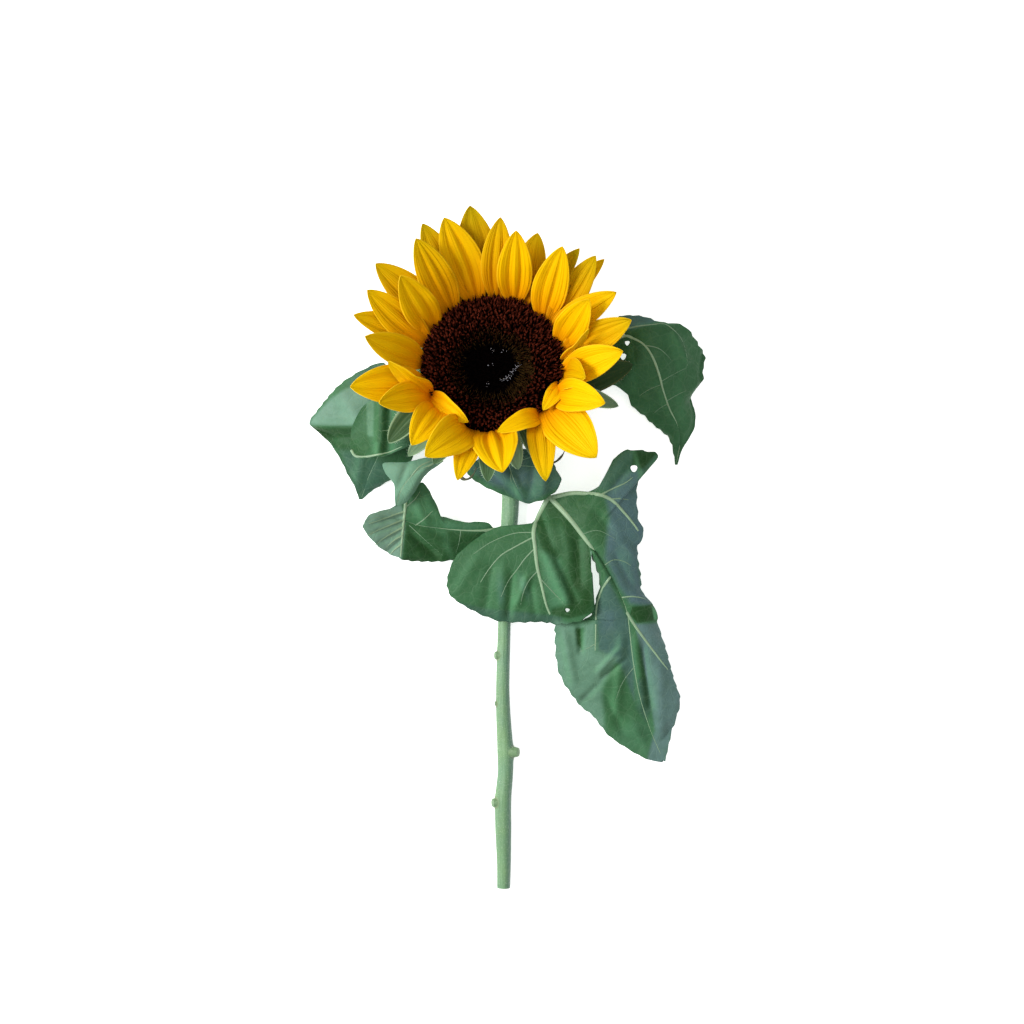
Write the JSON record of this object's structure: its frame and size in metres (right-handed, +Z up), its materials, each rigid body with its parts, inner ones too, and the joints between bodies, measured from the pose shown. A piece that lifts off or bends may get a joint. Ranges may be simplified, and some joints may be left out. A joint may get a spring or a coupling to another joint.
{
  "type": "cut sunflower",
  "caption": "Cut sunflower lying face up: dark floret disc, yellow ray petals, green bracts, bent neck, torn and folded leaves on a short cut stem.",
  "frame": {"origin": "on the surface the flower lies on, under the middle of its bounding box", "axes": "+Z up from the surface, towards the sky that the head faces; +Y from the cut end of the stem towards the head; +X to the right of a viewer who looks down with the head at the top"},
  "size_m": [0.2061, 0.3471, 0.0784],
  "materials": {
    "stem_green": "matte, fine hairs",
    "bract_green": "matte, hairy",
    "petal_yellow": "satin",
    "floret_brown": "matte",
    "leaf_green": "matte",
    "leaf_pale": "matte"
  },
  "bodies": {
    "root": {"stem": "stem_green", "bract_cup": "bract_green", "ray_petals": "petal_yellow", "disc": "floret_brown", "leaf_large_right": "leaf_green", "leaf_upper_right": "leaf_green", "leaf_back_left": "leaf_green", "leaf_curled_left": "leaf_green", "leaf_folded_left": "leaf_pale", "leaf_lower_left": "leaf_green", "leaf_under_head": "leaf_green"}
  },
  "joints": []
}
